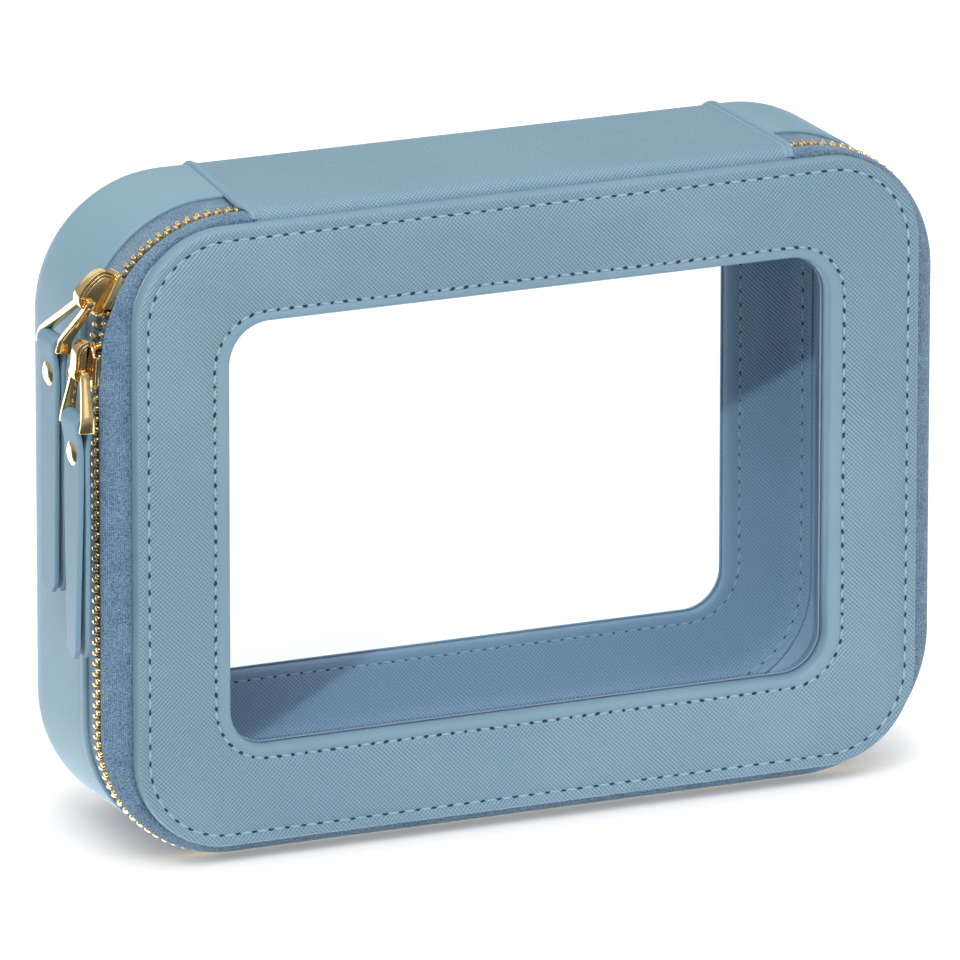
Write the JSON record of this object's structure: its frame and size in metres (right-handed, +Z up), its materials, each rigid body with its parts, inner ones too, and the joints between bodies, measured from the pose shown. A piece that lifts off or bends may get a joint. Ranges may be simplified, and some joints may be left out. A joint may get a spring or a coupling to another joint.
{
  "type": "makeup train case",
  "caption": "Small zip-round makeup case with a windowed lid hinged along its top, two sliding zip heads and leather pulls.",
  "frame": {"origin": "centre of the flat base, on the surface it stands on", "axes": "+X to the right of someone facing the lid, +Y from the lid to the rear panel, +Z up"},
  "size_m": [0.2195, 0.0618, 0.1568],
  "materials": {
    "leather": "fine cross-hatched embossed synthetic leather, satin",
    "smooth_leather": "smooth synthetic leather, satin",
    "lining": "embossed synthetic leather lining",
    "board": "stiffening board, hidden",
    "foam": "foam padding, hidden",
    "clear": "clear flexible PVC sheet",
    "tape": "woven zip tape",
    "gold": "polished light gold plating"
  },
  "bodies": {
    "case": {"gusset_leather_left": "smooth_leather", "gusset_leather_right": "smooth_leather", "gusset_board": "board", "gusset_lining": "lining", "rear_leather": "leather", "rear_board": "board", "rear_lining": "lining", "rear_window": "clear", "rear_window_binding": "lining", "hinge_rear_leather": "leather", "hinge_rear_lining": "lining", "seam_welts_rear": "smooth_leather", "tape_rear": "tape", "teeth_rear": "gold"},
    "lid": {"front_leather": "leather", "front_padding": "foam", "front_board": "board", "front_lining": "lining", "front_window": "clear", "front_window_binding": "smooth_leather", "hinge_front_leather": "leather", "hinge_front_lining": "lining", "seam_welts_front": "smooth_leather", "tape_front": "tape", "teeth_front": "gold"},
    "slider_upper": {"slider_upper_body": "gold", "slider_upper_bridge": "gold"},
    "slider_lower": {"slider_lower_body": "gold", "slider_lower_bridge": "gold"},
    "frame_upper": {"pull_frame_upper": "gold"},
    "frame_lower": {"pull_frame_lower": "gold"},
    "strap_upper": {"strap_upper": "smooth_leather", "strap_rivet_upper": "gold"},
    "strap_lower": {"strap_lower": "smooth_leather", "strap_rivet_lower": "gold"}
  },
  "joints": [
    {"name": "lid_hinge", "type": "hinge", "parent": "case", "child": "lid", "pos_m": [0, -0.0199, 0.156], "axis": [-1, 0, 0], "range_deg": [0, 125], "deforming": ["tape_front", "teeth_front"]},
    {"name": "slider_upper_run", "type": "hinge", "parent": "case", "child": "slider_upper", "pos_m": [-0.0735, -0.0199, 0.12265], "axis": [0, 1, 0], "range_deg": [0, 50]},
    {"name": "slider_lower_run", "type": "slide", "parent": "case", "child": "slider_lower", "axis": [0, 0, -1], "range_m": [0, 0.08], "deforming": ["teeth_rear"]},
    {"name": "frame_upper_swing", "type": "hinge", "parent": "slider_upper", "child": "frame_upper", "pos_m": [-0.1059, -0.0199, 0.1401], "axis": [0, 1, 0], "range_deg": [0, 40]},
    {"name": "frame_lower_swing", "type": "hinge", "parent": "slider_lower", "child": "frame_lower", "pos_m": [-0.1103, -0.0199, 0.12], "axis": [0, 1, 0], "range_deg": [0, 100]},
    {"name": "strap_upper_swing", "type": "hinge", "parent": "frame_upper", "child": "strap_upper", "pos_m": [-0.1108, -0.006, 0.1245], "axis": [0, 1, 0], "range_deg": [0, 70]},
    {"name": "strap_lower_swing", "type": "hinge", "parent": "frame_lower", "child": "strap_lower", "pos_m": [-0.1108, -0.0202, 0.109], "axis": [0, 1, 0], "range_deg": [0, 70]}
  ]
}
